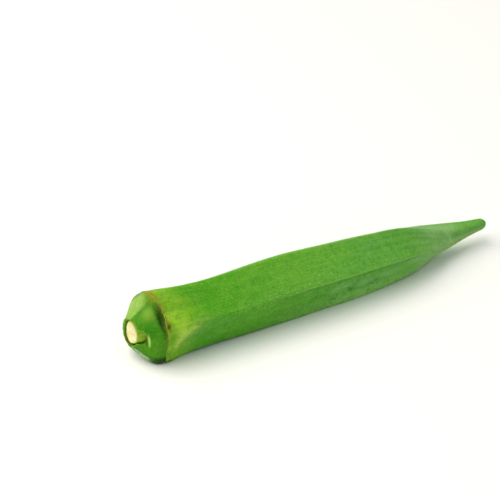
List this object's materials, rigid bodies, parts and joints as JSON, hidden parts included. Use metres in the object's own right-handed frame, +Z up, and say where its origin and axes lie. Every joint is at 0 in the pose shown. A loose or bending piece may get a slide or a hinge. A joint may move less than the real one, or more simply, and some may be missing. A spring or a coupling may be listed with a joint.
{
  "type": "okra pod",
  "caption": "Fresh okra pod lying on its side: a ribbed, tapering green pod with a cone-shaped cap, a ring scar round the cap and a cut stem stub.",
  "frame": {"origin": "on the table, under the middle of the pod's bounding box", "axes": "+X along the pod, from the cut stem to the tip; +Z up, as the pod lies on its two lower ribs"},
  "size_m": [0.115, 0.0196, 0.0184],
  "materials": {
    "okra_skin": "satin green plant skin with a fine down"
  },
  "bodies": {
    "root": {"okra_pod": "okra_skin"}
  },
  "joints": []
}
